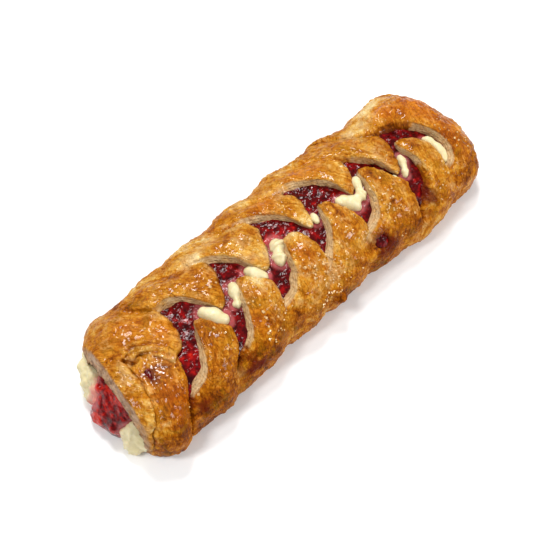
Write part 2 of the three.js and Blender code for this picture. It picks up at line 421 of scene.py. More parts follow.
# How the strips of a side stand: crown, near rim and far fall, and how the near edge slopes.
LEFT = dict(rise=(2.0, 1.4, -1.7), slope=-0.08)
RIGHT = dict(rise=(2.4, 1.4, -1.9), slope=0.2)
STRIPS = [
    Strip("left_0", (
        -90.5, -11.5, -93, -5, -96.5, 2, -100.5, 6.5, -105.5, 7.5, -110.5, 5, -112.5, -1,
        -112.5, -9, -115.5, -19, -119.5, -28, -123.5, -37, -126, -47, -128.5, -60
    ), (
        -95.5, 70, -92.5, 49, -89.5, 37, -84.5, 26, -79, 19.5, -78, 13, -78.3, 8, -79, 3,
        -80.3, -3, -82.3, -8, -86, -12, -90.5, -11.5
    ), closing=(-160, -60, -160, 70), rise=(1.6, 1.7, -1.7), slope=0.5,
        tone=0.5, bare=(-60, 5, 0.35)),
    Strip("fold_0", (
        -112.5, -3, -110.5, 2, -106.5, 4, -102.5, 3.5, -99, 0, -96, -5, -94, -10, -92, -15
    ), (
        -92, -15, -89, -11, -89.5, -3, -95.5, 8, -107.5, 13, -116.5, 7, -112.5, -3
    ), rise=(0.5, 0.6, 0.4), slope=0.6, tone=0.42, bare=(-20, 10, 0.3)),
    Strip("right_0", (
        -129.5, -70, -127, -56, -124.5, -47, -121, -37, -116.5, -28, -112.5, -19, -110, -10,
        -110, -3, -107.5, 3
    ), (
        -107.5, 3, -100.5, 3, -94.5, -2, -91, -8, -89, -14, -90, -20, -92.5, -27, -97, -35,
        -102.5, -44, -106.5, -56, -107.5, -70
    ), rise=(1, 0.6, -1.2), slope=0.5, tone=0.62, bare=(-60, 5, 0.35)),
    Strip("left_1", (
        -115.5, 70, -111.5, 60, -100.5, 41, -89.5, 27, -80.5, 17.6, -76.6, 17.1, -72.6, 16.4,
        -68.6, 14.4, -65.6, 11.5, -63.1, 8, -60.6, 4.2, -58.1, 0.3, -56, -3.7, -54, -8.5
    ), (
        -54, -9.5, -50.6, -7.5, -47.6, -3.5, -45.9, 1, -44, 6, -41.8, 12, -40.3, 18, -43.5, 25,
        -55.5, 34, -69.5, 42, -79.5, 60, -81.5, 70
    ), tone=0.6, bare=(-36, 17, 1), **LEFT),
    Strip("left_2", (
        -89.5, 70, -87.5, 60, -76.5, 42, -62.5, 31, -53, 26, -47.6, 23.6, -42.6, 21.6, -38, 19.2,
        -34.3, 15.6, -30.5, 11.5, -28.2, 7.3, -26.4, 3.3, -25, -0.7, -23.4, -4.7, -21.5, -8.5
    ), (
        -20.5, -9.3, -18.2, -8.4, -15.2, -4.5, -12.4, 0.5, -9.8, 6, -7, 12, -5.5, 18, -7.5, 24.5,
        -19.5, 33, -35.5, 43, -45.5, 60, -47.5, 70
    ), tone=0.46, pale=0.12, bare=(-36, 25, 1), **LEFT),
    Strip("left_3", (
        -51.5, 70, -49.5, 60, -39.5, 42, -24.5, 32, -15, 28, -10.6, 26, -6.6, 24.1, -2.6, 21.9,
        0.9, 19.6, 3.9, 16.9, 6.4, 14.1, 8.7, 10.6, 10.9, 6.6, 12.8, 2, 14.5, -3, 15.5, -5.8
    ), (
        15.5, -6, 18.3, -5, 20.3, -1, 22, 4, 23.3, 9, 24.5, 14, 24.5, 19.5, 19, 27, 8.5, 33,
        -5.5, 43, -13.5, 60, -15.5, 70
    ), tone=0.6, pale=0.28, bare=(-36, 27, 1), **LEFT),
    Strip("left_4", (
        -17.5, 70, -15.5, 60, -5.5, 42, 8.5, 31, 19, 26.3, 24.5, 25.8, 29.4, 23.2, 32.5, 21.2,
        35.5, 18.6, 39.4, 14.6, 42.4, 10.6, 44.9, 6, 46.4, 1, 47.5, -4, 48, -7.5
    ), (
        48, -7.5, 51.3, -5, 54, -1.5, 56.5, 2, 58.4, 6, 59.9, 10, 60.9, 14, 60.5, 19, 54.5, 27,
        34.5, 42, 24.5, 60, 22.5, 70
    ), tone=0.46, bare=(-36, 26, 1), **LEFT),
    Strip("left_5", (
        18.5, 70, 20.5, 60, 32.5, 43, 48.5, 29, 60, 16.8, 65, 12.3, 69.6, 6.5, 72.7, 2.1,
        74.7, -1.9, 75.6, -5.9, 76.2, -10, 77.5, -15.5
    ), (
        78, -16.5, 81.3, -15, 83.8, -11, 86, -6.5, 88.3, -1, 89.7, 4, 90.2, 9, 89.8, 14.5,
        84.5, 22, 72.5, 32, 58.5, 46, 50.5, 60, 48.5, 70
    ), tone=0.54, pale=-0.08, bare=(-36, 13, 0.8), **LEFT),
    Strip("right_1", (
        -107.5, -70, -105.5, -56, -102.5, -47, -98, -39, -92, -34.5, -86.5, -31.3, -82.5, -28,
        -80, -24, -77.5, -20, -75.5, -16, -73.5, -12, -71.5, -8, -70, -3.5
    ), (
        -69, -1.5, -65.5, -4, -63, -9, -60.5, -14, -57.8, -18.5, -57, -22, -57.6, -26, -59, -30.5,
        -61.5, -35, -65.5, -39, -69.5, -44, -71.5, -50, -72.5, -58, -73.5, -70
    ), tone=0.67, **RIGHT),
    Strip("right_2", (
        -75.5, -70, -75.5, -56, -71.5, -46, -64.5, -41, -58, -38, -53.5, -34.5, -50.2, -30,
        -47.5, -25, -45.2, -20, -43.2, -15, -41.3, -10.5, -39.3, -6, -36.5, 0
    ), (
        -34.5, 0.5, -30.5, -2, -28, -7, -25, -11, -22.5, -15, -22.2, -19.5, -22.8, -24,
        -24, -28.5, -26, -33, -28.5, -39, -31.5, -48, -33, -56, -33.5, -70
    ), tone=0.56, pale=0.1, **RIGHT),
    Strip("right_3", (
        -36.5, -70, -36.5, -56, -35.5, -48, -31.5, -40, -26.5, -34, -21.5, -31, -17.5, -28,
        -13.5, -24, -10.3, -20, -8.3, -16, -6.7, -12, -4.7, -8, -2.5, -3.5, -0.5, 1.5
    ), (
        0, 2, 5, 1.5, 8.5, -2, 10.3, -7, 11.3, -12, 11.4, -18, 10.8, -24, 9.5, -29.5, 5.5, -36,
        0.5, -42, -1.5, -49, -2.5, -56, -2.5, -70
    ), tone=0.52, pale=0.1, **RIGHT),
    Strip("right_4", (
        -5.5, -70, -5.5, -56, -3.5, -49, -0.5, -42, 4, -34.5, 8.5, -30, 12.5, -26, 16.5, -22,
        19.7, -18, 22.8, -13.5, 25.3, -8.5, 26.8, -4, 28, 0, 29.5, 4
    ), (
        30.5, 4.5, 34, 2.5, 36.5, -2, 38.5, -7, 40.3, -12.5, 41.5, -17.5, 42.3, -22, 41.8, -27,
        39, -32, 34.5, -37, 31.5, -44, 30.5, -56, 30.5, -70
    ), tone=0.52, **RIGHT),
    Strip("right_5", (
        27.5, -70, 27.5, -56, 28.5, -47, 31, -40, 35, -34.5, 39.5, -31.5, 44, -29.5, 48.5, -27,
        52, -23.5, 54.5, -19, 57, -14, 58.7, -9, 60, -4, 61.5, 1, 63.5, 4.5
    ), (
        64.5, 5, 68, 3.5, 70.5, -1, 72.7, -6, 75, -12, 77.4, -17.5, 78.2, -22, 77.6, -27,
        76.8, -32, 75, -37.5, 71.5, -45, 70.5, -56, 70.5, -70
    ), tone=0.58, **RIGHT),
    Strip("right_6", (
        66, -70, 67, -56, 71, -47, 79.5, -40, 86, -35, 89.5, -30.5, 91.4, -26, 92.3, -22.5,
        93, -19.5, 93.4, -16, 93.2, -12, 92.8, -8, 92.5, -4, 93, 0, 94.3, 4
    ), (
        95, 4.5, 99, 3, 103, -0.5, 106.5, -5, 109, -11, 110, -16, 109.5, -21, 108, -27,
        106.5, -33, 107, -43, 109, -56, 109, -70
    ), tone=0.48, bare=(-19, 24, 1), **RIGHT),
    Strip("far_end", (
        54.5, 70, 58.5, 56, 66.5, 39, 76.5, 27, 83.5, 20.5, 88, 16.8, 92, 16.8, 97, 15.8,
        102, 13.5, 105.5, 10.2, 108.5, 6.5, 111.6, 2, 114, -3, 116.4, -9, 117.4, -15, 116.3, -22,
        113.3, -27.5, 109.5, -32, 105, -38, 100, -47, 96, -56, 95, -70
    ), None, closing=(160, -70, 160, 70), rise=(1.8, 1.4, 0), slope=0.3,
        tone=0.56, bare=(-33, 4, 1)),
]


# Small lumps of dough low on the right side: x, s, radius, how far they stand out.
KNOBS = [(26.5, -42, 4.6, 0.5), (31.5, -44, 3.2, 0.6), (3, -50, 3.8, 3.6), (1.5, -45, 3.4, 1.2)]
# Place of the hole in the right side that jam shows through, and its radius.
HOLE = (41.5, -40, 4.3)


def loaf_section(x, y, z):
    """Skin distance and arc of the points, and the cut through the open end."""
    d = skin(x, y, z)
    s = arc_across(x, y, z)
    front = OPEN_END + MOUTH_BACK + 0.12 * y - 0.09 * (36 - z) - 0.45 * np.clip(-d, 0, WALL)
    return d, s, (front - x) * 0.92


def pastry_field(x, y, z):
    d, s, front = loaf_section(x, y, z)
    f = d + CORE_DEPTH
    for strip in STRIPS:
        part = strip.reach(x)
        own = strip.field(d[part], x[part], s[part])[0]
        f[part] = smin(f[part], own, 0.7)
    for kx, ks, radius, out in KNOBS:
        centre, normal = on_skin(kx, ks, radius - out - 1)
        f = smin(f, distance_from(centre, x, y, z) - radius, 2.0)
    hole = np.hypot(x - HOLE[0], (s - HOLE[1]) * 1.05) - HOLE[2]
    hole = hole + 0.8 * np.sin(1.1 * x) * np.cos(0.9 * s)
    f = smax(f, -np.maximum(hole, -(d + 3.0)), 1.6)
    crack = np.hypot((x + 109.7) + 0.55 * (s - 2.2), 0.28 * (s - 2.2)) - 1.1
    f = smax(f, -np.maximum(crack, -(d + 2.6)), 0.6)
    f = smax(f, front, 1.0)
    mouth = np.maximum(np.maximum(d + WALL, -front - MOUTH_DEPTH), MOUTH_FLOOR - z)
    f = np.maximum(f, -mouth)
    return np.maximum(f, -z)


# ---------- mesh making


def add_object(name, data):
    made = bpy.data.objects.new(name, data)
    bpy.context.scene.collection.objects.link(made)
    return made


def make_mesh(name, vertices, faces, attributes=None):
    mesh = bpy.data.meshes.new(name)
    mesh.vertices.add(len(vertices))
    mesh.vertices.foreach_set("co", (vertices * MM).astype(np.float32).ravel())
    size = faces.shape[1]
    mesh.loops.add(faces.size)
    mesh.loops.foreach_set("vertex_index", faces.astype(np.int32).ravel())
    mesh.polygons.add(len(faces))
    mesh.polygons.foreach_set("loop_start", np.arange(0, faces.size, size, dtype=np.int32))
    mesh.polygons.foreach_set("loop_total", np.full(len(faces), size, np.int32))
    mesh.polygons.foreach_set("use_smooth", np.ones(len(faces), bool))
    for key, values in (attributes or {}).items():
        kind, slot = ("FLOAT_VECTOR", "vector") if values.ndim == 2 else ("FLOAT", "value")
        layer = mesh.attributes.new(key, kind, "POINT")
        layer.data.foreach_set(slot, values.astype(np.float32).ravel())
    mesh.update(calc_edges=True)
    mesh.validate()
    melt_flat_faces(mesh)
    piece = add_object(name, mesh)
    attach(piece, "root")
    return piece


def melt_flat_faces(mesh):
    """Joins the many small faces of a flat underside into few."""
    b = bmesh.new()
    b.from_mesh(mesh)
    low = 0.02 * MM

    def inner(part):
        return all(v.co.z < low for face in part.link_faces for v in face.verts)

    verts, edges = (list(filter(inner, parts)) for parts in (b.verts, b.edges))
    bmesh.ops.dissolve_limit(b, angle_limit=0.02, verts=verts, edges=edges)
    bmesh.ops.triangulate(b, faces=[f for f in b.faces if len(f.verts) > 4])
    b.to_mesh(mesh)
    b.free()


def bubbles(p, size, seed):
    """Round bumps between 0 and 1, one in each cell of `size` mm."""
    q = p / size
    cell = np.floor(q).astype(np.int64)
    table = np.random.default_rng(seed).uniform(0, 1, (4, 4096))
    out = np.zeros(len(p))
    for step in np.ndindex(3, 3, 3):
        c = cell + step - 1
        h = cell_hash(c) & 4095
        centre = c + 0.15 + 0.7 * table[:3, h].T
        radius = 0.25 + 0.4 * table[3, h]
        r = np.linalg.norm(q - centre, axis=1) / radius
        out = np.maximum(out, radius * 1.5 * np.maximum(1 - r * r, 0))
    return out


def make_pastry():
    low = (OPEN_END - 5, -HALF_WIDTH - 5, -1.6)
    high = (FAR_HALF + 6, HALF_WIDTH + 6, TOP + 6)
    x, y, z, origin = grid(low, high)
    field = pastry_field(x, y, z)
    v, faces, normals = mesh_field(field, origin)
    looks = pastry_looks(v)
    lumps = 0.5 * fractal(v, 9, 11, 2) + 0.4 * noise(v, 3.6, 21) + 0.2 * noise(v, 1.9, 31)
    raised = smoothstep(-0.35, 0.25, noise(v, 11, 36)) * bubbles(v, 3.4, 37)
    raised = raised + 0.5 * bubbles(v, 2.3, 38)
    lumps = lumps + 0.75 * raised * (1 - looks["cut"])
    flat = smoothstep(0.2, 2.5, v[:, 2])
    # the creases give both their relief and the painted shade that darkens the crust down in them
    height, looks["crease"] = creases(v[:, 0], arc_across(*v.T))
    looks["raised"] = raised
    v = push_out(v, normals, lumps * flat + height, 0)
    piece = make_mesh("pastry_crust", v, faces, looks)
    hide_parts("pastry")
    return piece


# Creases of the folded dough: points on the chart, half width, depth, height of the lips beside.
CREASES = [
    ([(-106, 7.4), (-103, 7), (-100, 5.8), (-97, 3.9), (-94.5, 1.8), (-92, -0.8), (-90, -4)],
      0.8, 0.8, 0.8),
    ([(-104, 2.6), (-101, 1.3), (-98, -1.2), (-95.5, -3.6), (-93.5, -6.4), (-91.6, -11)],
      0.8, 0.8, 0.9),
    ([(-108.5, 5.6), (-105.5, 5), (-102, 4.2), (-99, 2.2)], 0.6, 0.8, 0.6),
    ([(-111, 5), (-109.6, 3), (-108, 1.3), (-106, 0.3)], 1.1, 1.7, 0.2),
    ([(-111.8, 3), (-111.3, -3), (-112, -9), (-114.5, -15), (-117.5, -21), (-120.3, -27),
      (-122.5, -33), (-124.5, -42)], 0.9, 0.15, 0.6),
    ([(-108.5, -4.5), (-110.2, -10), (-112.8, -16.5), (-116, -23.5), (-118.8, -29.5),
      (-121.3, -37)], 0.8, 0.1, 0.5),
    ([(-124.5, -47), (-121, -37), (-116.5, -28), (-112.8, -19), (-110.4, -10), (-110.2, -3)],
      1.3, -0.9, 0),
    ([(-100.5, -8.5), (-99, -11), (-97.5, -13)], 0.7, 0.6, 0.5),
    ([(-103.5, -13.5), (-102, -16.5), (-99.5, -18.5)], 0.7, 0.5, 0.5),
]


def creases(x, s):
    """Height the creases add to the crust, and how much painted shade darkens a place down in one.
    """
    height, painted_shade = np.zeros(len(x)), np.zeros(len(x))
    for path, width, deep, lip in CREASES:
        path = curve(path)
        near = (np.abs(x - path[:, 0].mean()) < 16) & (np.abs(s - path[:, 1].mean()) < 32)
        r = distance_to(path, x[near], s[near]) / width
        inside = np.exp(-(r**2))
        height[near] += lip * np.exp(-((r - 2) ** 2)) - deep * inside
        # painted shade: the deeper a crease, the darker the crust down in it
        painted_shade[near] = np.maximum(painted_shade[near], inside * min(max(1.6 * deep, 0), 1))
    return height, painted_shade


# Where the crust is paler (under 0) or browner (over 0): x, s, half sizes, change.
BAKE_PATCHES = [
    (84.5, 29, 14, 9, -0.45), (112.5, 21, 12, 12, 0.02), (112.5, -43, 16, 14, 0.04),
    (-106.5, -33, 9, 16, 0.12), (60, -44, 16, 9, 0.14), (-36, -43, 14, 7, 0.12),
    (-78, 38, 14, 6, -0.12), (-40, 39, 12, 6, -0.15), (-2, 38, 12, 6, -0.15),
    (36, 38, 12, 6, -0.1), (104, 39, 13, 7, -0.5), (3.5, -51, 6, 4, 0.3), (-111.5, 33, 10, 8, 0.1),
    (-29.5, -9, 4, 9, -0.25), (16.5, 3, 4, 7, -0.2), (-15.5, 3, 5, 8, -0.12),
    (-63.5, -25, 4, 7, -0.15), (4.5, -2, 5, 3, -0.2), (98.5, -9, 5, 6, 0.12),
    (31.5, -8, 4, 6, 0.12), (-71.5, -15, 3, 6, 0.1), (66, -8, 4, 6, 0.16), (68, 24, 6, 5, 0.12),
    (-12, -38, 9, 6, -0.14), (122, -12, 6, 8, 0.08), (-62, -41, 9, 5, 0.1), (-45, 24, 5, 3, -0.3),
]
# Where jam has soaked the crust: x, s, half sizes, strength.
STAINS = [
    (-94.5, -42, 7, 5, 0.9), (-62, -44.5, 9, 6, 0.9), (41.5, -40.5, 9, 8, 1.4),
    (-56.5, -48, 6, 4, 0.5), (76.5, -45, 5, 5, 0.5), (83, -37.5, 5, 6, 1.0),
]


# Where the crust is glazed a clear orange: x, s, half sizes, share.
GLOW_PATCHES = [
    (122, 12, 12, 14, 0.7), (104, 22, 8, 8, 0.6), (124, -14, 10, 14, 0.4), (-84, 4, 10, 8, 0.5),
    (-98, 18, 10, 8, 0.4), (38, 24, 10, 8, 0.5), (-46, -27, 5, 8, 0.5), (8, 26, 8, 7, 0.3),
    (0, -15, 6, 6, 0.4), (-104, -30, 8, 15, 0.6), (4, 22, 8, 7, 0.35),
]


def patches(x, s, places):
    total = np.zeros(len(x))
    for px, ps, along, across, change in places:
        r = ((x - px) / along) ** 2 + ((s - ps) / across) ** 2
        total += change * np.exp(-(r**1.5))
    return total


def pastry_looks(v):
    """Where the crust is pale, browned, cut through or stained, and where painted shade darkens
    it.
    """
    x, y, z = v.T
    d, s, front = loaf_section(x, y, z)
    best = np.full(len(v), 9.0)
    depth, cut, tone, grain = (np.zeros(len(v)) for _ in range(4))
    for strip in STRIPS:
        near = (x > strip.low + 1) & (x < strip.high - 1)
        f, own_depth, edge, nearness = strip.field(d[near], x[near], s[near])
        mine = f < best[near]
        at = np.nonzero(near)[0][mine]
        best[at] = f[mine]
        depth[at] = own_depth[mine]
        cut[at] = smoothstep(-0.9, -0.3, edge[mine]) * nearness[mine]
        to_far = strip.look(strip.to_far, x[at], s[at])
        to_near = strip.look(strip.to_near, x[at], s[at])
        tone[at] = strip.tone - strip.pale * np.exp(-to_far / 5)
        if strip.name != "far_end":
            tone[at] -= 0.13 * np.exp(-to_near / 2.4) + 0.1 * np.exp(-to_far / 2.4)
        low, high, share = strip.bare
        shown = smoothstep(low - 4, low + 2, s[at]) * smoothstep(high + 3, high - 2, s[at])
        hidden = 1 - share * shown
        # painted shade, partly jam-soaked crust: where a near edge shows no cut layers, its crust
        # is painted darker further down the edge
        tone[at] += hidden * cut[at] * smoothstep(0, 3, own_depth[mine]) * 0.2
        cut[at] *= 1 - hidden
        grain[at] = 0.7 if strip.name[0] == "l" else -0.4
    cut = cut * smoothstep(0.3, 1.2, depth)
    opening = smoothstep(-1.2, -0.4, front)
    cut = np.maximum(cut, opening * smoothstep(-0.2, 0.5, depth))
    wander = 0.11 * fractal(v, 15, 41, 2) + 0.09 * noise(v, 5, 51)
    # painted shade, partly browner baking: the crust is painted browner low on the right wall
    bake = tone + 0.05 + wander + patches(x, s, BAKE_PATCHES) + 0.07 * smoothstep(-32, -46, s)
    bake = bake + 0.1 * smoothstep(9, 2, z)
    stain = patches(x, s, STAINS) * smoothstep(-0.5, 0.4, noise(v, 4, 57) + 0.3)
    inner = (x > -100) & (x < 116) & (s > -38)
    stain = stain + 0.55 * inner * smoothstep(-1.6, -3.6, d + 0.8 * noise(v, 3, 58))
    drop = ((x + 106) / 2.8) ** 2 + ((s + 12) / 5.6) ** 2
    stain = np.maximum(stain, 0.9 * np.exp(-(drop**1.5)))
    gloss = np.exp(-(((x + 101) / 7) ** 2) - ((s + 11) / 7) ** 2)
    gloss = gloss + 0.08 * smoothstep(34, 14, np.abs(s)) - 0.2 * smoothstep(26, 42, np.abs(s))
    streak = np.stack([x + grain * s, s * 0.18, z * 0.3], 1)
    return dict(
        bake=bake, cut=np.clip(cut, 0, 1), layer=depth, stain=np.clip(stain, 0, 1), gloss=gloss,
        glow=patches(x, s, GLOW_PATCHES), grain=streak, rim=opening,
    )


def blob_field(x, y, z, blobs, blend=2.0, taper=0.0):
    """Union of rounded ropes, each from one point to another with a radius."""
    f = np.full(np.broadcast(x, y, z).shape, 50.0)
    for (ax, ay, az), (bx, by, bz), radius in blobs:
        ux, uy, uz = bx - ax, by - ay, bz - az
        size = ux * ux + uy * uy + uz * uz + 1e-6
        t = np.clip(((x - ax) * ux + (y - ay) * uy + (z - az) * uz) / size, 0, 1)
        r = np.sqrt((x - ax - t * ux) ** 2 + (y - ay - t * uy) ** 2 + (z - az - t * uz) ** 2)
        f = smin(f, r - radius * (1.06 - taper * (2 * t - 1) ** 2), blend)
    return f


RUN_OUT = -110  # x where the filling that ran out of the open end begins
# Cream that shows in the gaps: from x, s to x, s, with a radius and how deep its top lies.
CREAM_ROPES = [
    (-62, -1.8, -57, -12.4, 4.7, 0.2), (-40.4, -0.8, -42.8, -7.5, 3.2, 1.4),
    (-41.2, -2.4, -41.8, -4.5, 3.6, 1.1), (-46.6, -10.3, -44.8, -11.3, 2.7, 1.8),
    (-27.6, -0.6, -24.4, -9, 4.2, 0.6), (-5.3, 1.9, -5.6, -0.8, 5.0, 0.8),
    (-8.6, -4.6, -10.6, -7.2, 4.5, 1.0), (22.3, 0.5, 21.2, -4, 2.4, 1.2),
    (43.2, -5, 45.4, -12.2, 4.4, 0.2), (40, -3, 41.2, -4.8, 2.8, 0.7),
    (50.8, -9.6, 53.4, -9.6, 3.9, 0.5), (57.4, 0.5, 55, -5, 3.1, 1.0),
    (74.6, -12.5, 75.4, -15.7, 1.1, 0.5), (88.2, -6.8, 86, -11.6, 3.0, 1.3),
    (84.4, -14, 82, -16.8, 2.7, 1.4), (109.2, -8, 110.3, -10.3, 2.1, 1.5),
    (110.3, -10.3, 111.9, -14.5, 2.5, 1.5), (111.9, -14.5, 111.7, -19, 2.4, 1.6),
    (111.7, -19, 110.5, -23.2, 2.3, 1.7), (110.5, -23.2, 108.8, -27.3, 2.0, 1.8),
]
# Cream and jam that ran out at the open end: from point to point, with a radius.
CREAM_LOBES = [
    ((-117, 29, 9), (-121, 23, 9), 7.4), ((-122.5, 27, 11), (-124, 23.5, 13), 4.6),
    ((-125.5, 21, 5), (-128, 17, 4), 5.6), ((-127, 21, 12), (-128.5, 17.5, 9), 4.4),
    ((-130, 13.5, 4), (-130, 12, 8), 4.6), ((-123, 20, 16), (-124, 14, 16.5), 4.0),
    ((-127.5, 13, 13.5), (-128, 9, 15), 3.6), ((-130.5, 8.5, 11), (-130, 5, 12.5), 3.4),
    ((-120, -18, 13), (-126, -20, 10), 7.6), ((-130.5, -18, 6), (-130, -22, 5), 5.6),
    ((-128.5, -18.5, 13), (-127.5, -22, 14), 4.4), ((-132.5, -21, 5), (-131.5, -25, 4), 4.4),
    ((-126.5, -27, 6), (-125.5, -26, 12), 5.0), ((-129.5, -15.5, 12), (-130.5, -15, 8), 3.2),
]
JAM_SPILL = [
    ((-117, 5, 15), (-117, -10, 15), 11.5), ((-126, 2, 8.5), (-126, -8, 8.5), 9.2),
    ((-131.5, 1.5, 3.5), (-129, -8.5, 3.5), 6.7),
]


def gather(name, parts):
    """One mesh from several, each given as vertices, quads and attributes."""
    shift, quads, verts, looks = 0, [], [], {}
    for v, q, own in parts:
        verts.append(v)
        quads.append(q + shift)
        shift += len(v)
        for key, values in own.items():
            looks.setdefault(key, []).append(values)
    looks = {key: np.concatenate(values) for key, values in looks.items()}
    return make_mesh(name, np.concatenate(verts), np.concatenate(quads), looks)


def cream_ropes():
    return [
        (on_skin(ax, a_s, sink + radius)[0], on_skin(bx, b_s, sink + radius)[0], radius)
        for ax, a_s, bx, b_s, radius, sink in CREAM_ROPES
    ]


def make_cream():
    parts = []
    regions = [
        ((-72, -34, 13), (120, 12, TOP + 3), cream_ropes()),
        ((-139, -40, -1), (RUN_OUT, 37, 24), CREAM_LOBES),
    ]
    for low, high, ropes in regions:
        x, y, z, origin = grid(low, high)
        field = blob_field(x, y, z, ropes, 2.0, 0.28)
        field = np.maximum(field, 0.2 - z)
        v, quads, normals = mesh_field(field, origin)
        out = v[:, 0] < RUN_OUT
        coarse = out * 0.9
        lumps = 0.5 * noise(v, 4.5, 61) + 0.25 * noise(v, 2.4, 62)
        lumps = lumps + (0.2 + coarse) * (bubbles(v, 4.5, 63) - 0.4)
        lumps = lumps + coarse * 0.7 * (bubbles(v, 2.6, 64) - 0.3)
        d = skin(*v.T)
        pink = smoothstep(-3.0, -6.0, d + 1.4 * noise(v, 4, 66)) * ~out
        y = v[:, 1]
        beside = np.where(y > 0, 1.2 * smoothstep(18, 11, y), smoothstep(-18, -13, y))
        pink = pink + out * beside
        v = push_out(v, normals, lumps * smoothstep(0.1, 1.5, v[:, 2]), 0.05)
        parts.append((v, quads, {"pink": pink}))
    piece = gather("cream_cheese", parts)
    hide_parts("cream")
    return piece


JAM_DEPTH = 4.6  # how deep under the skin the jam lies in the gaps
HOLE_JAM = (9.2, 9.4)  # depth of the middle of the jam in the hole, and its radius
# Where the jam is thin and bright: x, s, half sizes, change.
JAM_BRIGHT = [
    (-82.7, -17.4, 6, 5, 0.22), (-83.6, -29, 5, 4, 0.25), (-56, -30, 4, 6, 0.1),
    (-30, 4, 4, 5, 0.25), (-21, -30, 4, 6, 0.12), (-4, 8, 9, 3, 0.2), (7, 5, 6, 3, 0.25),
    (13.5, -8, 4, 4, 0.15), (28, 6, 6, 3, 0.12), (44, 1, 6, 3, 0.2),
]


def make_jam():
    x, y, z, origin = grid((-100, -44, 6), (121, 36, TOP))
    d = skin(x, y, z)
    s = arc_across(x, y, z)
    covered = np.full(d.shape, 30.0)
    for strip in STRIPS:
        part = strip.reach(x)
        covered[part] = np.minimum(covered[part], strip.look(strip.edge, x[part], s[part]))
    wobble = 0.5 * np.sin(x / 3.1 + 1.3 * np.sin(y / 4)) * np.sin(y / 3.7 + x / 9)
    level = JAM_DEPTH - 0.9 * smoothstep(2, 14, s)
    f = np.maximum(np.maximum(d + level + wobble, -(d + CORE_DEPTH + 1)), -covered - 2.5)
    hole, _ = on_skin(HOLE[0], HOLE[1], HOLE_JAM[0])
    f = np.minimum(f, distance_from(hole, x, y, z) - HOLE_JAM[1])
    volumes = [(f, origin)]
    x, y, z, origin = grid((-113, -20, 28), (-103, 0, TOP + 4))
    drop = (on_skin(-106.2, -8.4, 0.9)[0], on_skin(-106, -15.4, 1.1)[0], 2.3)
    volumes.append((blob_field(x, y, z, [drop]), origin))
    x, y, z, origin = grid((-142, -30, -1), (-104, 22, 30))
    spill = blob_field(x, y, z, JAM_SPILL, 4)
    volumes.append((np.maximum(spill, 0.2 - z), origin))
    parts = []
    for f, origin in volumes:
        v, faces, normals = mesh_field(f, origin)
        out = v[:, 0] < RUN_OUT
        lumps = 0.5 * bubbles(v, 3.4, 75) + 0.3 * fractal(v, 5, 71, 2)
        lumps = lumps + 0.14 * noise(v, 1.7, 73) - 0.22
        coarse = 1.3 * bubbles(v, 6, 76) + 0.6 * fractal(v, 5, 77, 2) + 0.2 * bubbles(v, 2.8, 78)
        lumps = np.where(out, coarse - 0.6, lumps)
        v = push_out(v, normals, lumps * smoothstep(0.1, 1.5, v[:, 2]), 0.05)
        x, y, z = v.T
        out = x < RUN_OUT
        thin = 0.7 * patches(x, arc_across(x, y, z), JAM_BRIGHT)
        # painted light, partly the jam's own clearer red: the jam that ran out of the open end is
        # painted brighter all over
        bright = np.where(out, 0.22 + 0.2 * noise(v, 8, 79), thin)
        lobes, ropes = blob_field(x, y, z, CREAM_LOBES), blob_field(x, y, z, cream_ropes(), 1.2)
        milky = np.where(out, lobes, ropes) + 1.1 * noise(v, 5, 80)
        looks = {"lumps": lumps, "bright": bright, "milky": 0.6 * smoothstep(2.0, 0.0, milky)}
        parts.append((v, faces, looks))
    piece = gather("strawberry_jam", parts)
    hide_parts("jam")
    return piece


SUGAR_COUNT, SUGAR_SIZES = 260, (0.24, 0.52)  # how many grains, and half their side
SUGAR_DEEPEST = 2.6  # how deep under the skin a grain may lie
# Where the sugar lies thickest: x, s, half sizes, share.
SUGAR_PATCHES = [
    (-84, 3, 9, 9, 0.2), (-66, -25, 8, 10, 0.35), (-36, -22, 12, 18, 0.65), (1, -30, 11, 15, 1.2),
    (-4, -48, 8, 5, 1.0), (30, -30, 10, 12, 0.4), (55, -25, 12, 14, 0.4), (92, -28, 12, 16, 0.25),
    (126, -18, 10, 22, 0.25), (-15, 12, 12, 6, 0.2),
]


def make_sugar():
    """Coarse sugar crystals on the crust."""
    rng = np.random.default_rng(91)
    cube = 2.0 * np.array(list(np.ndindex(2, 2, 2))) - 1
    quads = [[0, 1, 3, 2], [4, 6, 7, 5], [0, 4, 5, 1], [2, 3, 7, 6], [0, 2, 6, 4], [1, 5, 7, 3]]
    quads = np.array(quads)
    verts, faces = [], []
    pastry = bpy.data.objects["pastry_crust"]
    tree = BVHTree.FromObject(pastry, bpy.context.evaluated_depsgraph_get())
    placed = 0
    while placed < SUGAR_COUNT:
        x, s = rng.uniform(-118, 130), rng.uniform(-46, 38)
        weight = 0.015 + patches(np.array([x]), np.array([s]), SUGAR_PATCHES)[0]
        clump = noise(np.array([[x, s, 0.0]]), 5, 92)[0]
        if rng.uniform() > weight * (0.3 + 1.2 * max(clump, 0)):
            continue
        point, normal = on_skin(x, s, -6)
        hit, face_normal, _, _ = tree.ray_cast(Vector(point * MM), Vector(-normal))
        if hit is None:
            continue
        place = np.array(hit) / MM
        if -float(skin(*place)) > SUGAR_DEEPEST:
            continue
        size = rng.uniform(*SUGAR_SIZES)
        turn = np.array(Quaternion(rng.normal(size=4)).normalized().to_matrix())
        shape = cube * (size * rng.uniform(0.7, 1.25, 3)) + rng.normal(0, 0.09 * size, (8, 3))
        verts.append(shape @ turn.T + place + np.array(face_normal) * size * 0.3)
        faces.append(quads + 8 * placed)
        placed += 1
    piece = make_mesh("sugar_crystals", np.concatenate(verts), np.concatenate(faces))
    piece.data.polygons.foreach_set("use_smooth", np.zeros(len(piece.data.polygons), bool))
    return piece


# ---------- materials


